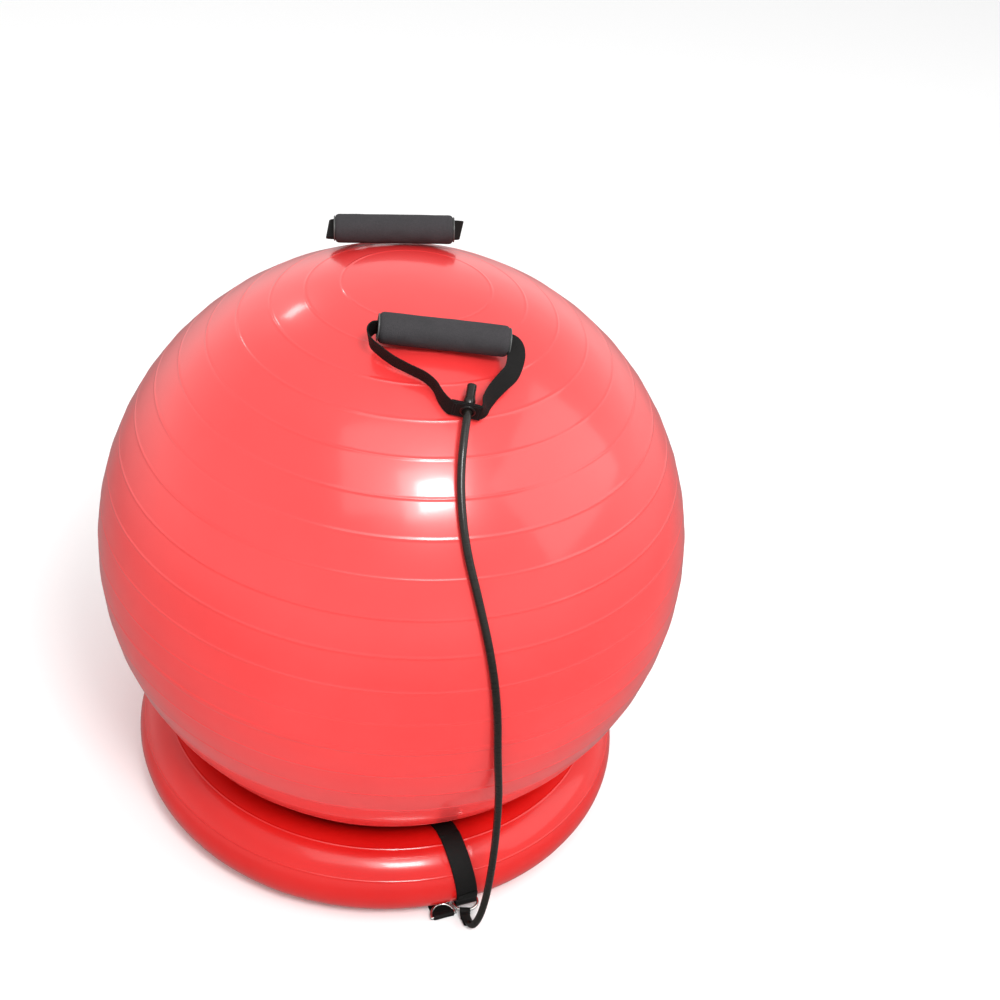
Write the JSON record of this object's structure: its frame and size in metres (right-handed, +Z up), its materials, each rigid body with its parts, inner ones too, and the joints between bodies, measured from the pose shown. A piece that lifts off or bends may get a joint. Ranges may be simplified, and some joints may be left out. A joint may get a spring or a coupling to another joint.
{
  "type": "exercise ball with ring base",
  "caption": "Ribbed inflatable exercise ball seated in an inflatable ring base, with a strap and an elastic tube with a foam handle on each side.",
  "frame": {"origin": "on the floor, under the middle of the ball", "axes": "+Z up; the front band is on -Y and the rear band on +Y"},
  "size_m": [0.65, 0.67, 0.6674],
  "materials": {
    "ball_vinyl": "glossy red anti-burst vinyl",
    "ring_vinyl": "glossy deeper red vinyl",
    "plug_plastic": "soft white plastic",
    "webbing": "black woven polypropylene webbing",
    "tube_rubber": "smooth black-brown latex",
    "stopper_plastic": "black moulded plastic",
    "d_ring_metal": "plated steel wire",
    "eyelet_metal": "pressed steel eyelet",
    "core_plastic": "black plastic tube",
    "grip_foam": "fine closed-cell foam"
  },
  "bodies": {
    "ring_base": {"ring_tube": "ring_vinyl", "ring_valve_seat": "ring_vinyl", "ring_strap_front": "webbing", "pull_d_ring_front": "d_ring_metal", "tail_d_ring_front": "d_ring_metal", "foot_tab_front": "webbing", "foot_plug_front": "stopper_plastic", "band_tube_front": "tube_rubber", "ring_strap_rear": "webbing", "pull_d_ring_rear": "d_ring_metal", "tail_d_ring_rear": "d_ring_metal", "foot_tab_rear": "webbing", "foot_plug_rear": "stopper_plastic", "band_tube_rear": "tube_rubber"},
    "ball": {"ball_shell": "ball_vinyl", "ball_valve_seat": "ball_vinyl"},
    "ball_plug": {"ball_plug": "plug_plastic"},
    "ring_plug": {"ring_plug": "plug_plastic"},
    "band_end_front": {"band_tube_top_front": "tube_rubber"},
    "handle_front": {"stop_plug_front": "stopper_plastic", "grommet_front": "eyelet_metal", "handle_strap_front": "webbing"},
    "grip_front": {"grip_core_front": "core_plastic", "grip_foam_front": "grip_foam"},
    "band_end_rear": {"band_tube_top_rear": "tube_rubber"},
    "handle_rear": {"stop_plug_rear": "stopper_plastic", "grommet_rear": "eyelet_metal", "handle_strap_rear": "webbing"},
    "grip_rear": {"grip_core_rear": "core_plastic", "grip_foam_rear": "grip_foam"}
  },
  "joints": [
    {"name": "ball_spin", "type": "hinge", "parent": "ring_base", "child": "ball", "pos_m": [0, 0, 0.3255], "axis": [0, 0, 1], "continuous": true},
    {"name": "ball_plug_pull", "type": "slide", "parent": "ball", "child": "ball_plug", "axis": [0.6255, 0.7455, 0.2301], "range_m": [0, 0.02]},
    {"name": "ring_plug_pull", "type": "slide", "parent": "ring_base", "child": "ring_plug", "axis": [0.7494, 0.5855, 0.309], "range_m": [0, 0.02]},
    {"name": "pull_front", "type": "slide", "parent": "ring_base", "child": "band_end_front", "axis": [0, -0.5, 0.866], "range_m": [0, 0.4], "stiffness_N_per_m": 90, "deforming": ["band_tube_front"]},
    {"name": "handle_swing_front", "type": "hinge", "parent": "band_end_front", "child": "handle_front", "pos_m": [-0.01701, -0.19169, 0.60336], "axis": [0.9503, -0.3055, -0.0593], "range_deg": [0, 110], "deforming": ["band_tube_top_front"]},
    {"name": "grip_spin_front", "type": "hinge", "parent": "handle_front", "child": "grip_front", "pos_m": [-0.01245, -0.10957, 0.64863], "axis": [0.9503, -0.3055, -0.0593], "continuous": true},
    {"name": "pull_rear", "type": "slide", "parent": "ring_base", "child": "band_end_rear", "axis": [0, 0.5, 0.866], "range_m": [0, 0.4], "stiffness_N_per_m": 90, "deforming": ["band_tube_rear"]},
    {"name": "handle_swing_rear", "type": "hinge", "parent": "band_end_rear", "child": "handle_rear", "pos_m": [0.01701, 0.19169, 0.60336], "axis": [-0.9503, 0.3055, -0.0593], "range_deg": [0, 110], "deforming": ["band_tube_top_rear"]},
    {"name": "grip_spin_rear", "type": "hinge", "parent": "handle_rear", "child": "grip_rear", "pos_m": [0.01245, 0.10957, 0.64863], "axis": [-0.9503, 0.3055, -0.0593], "continuous": true}
  ]
}
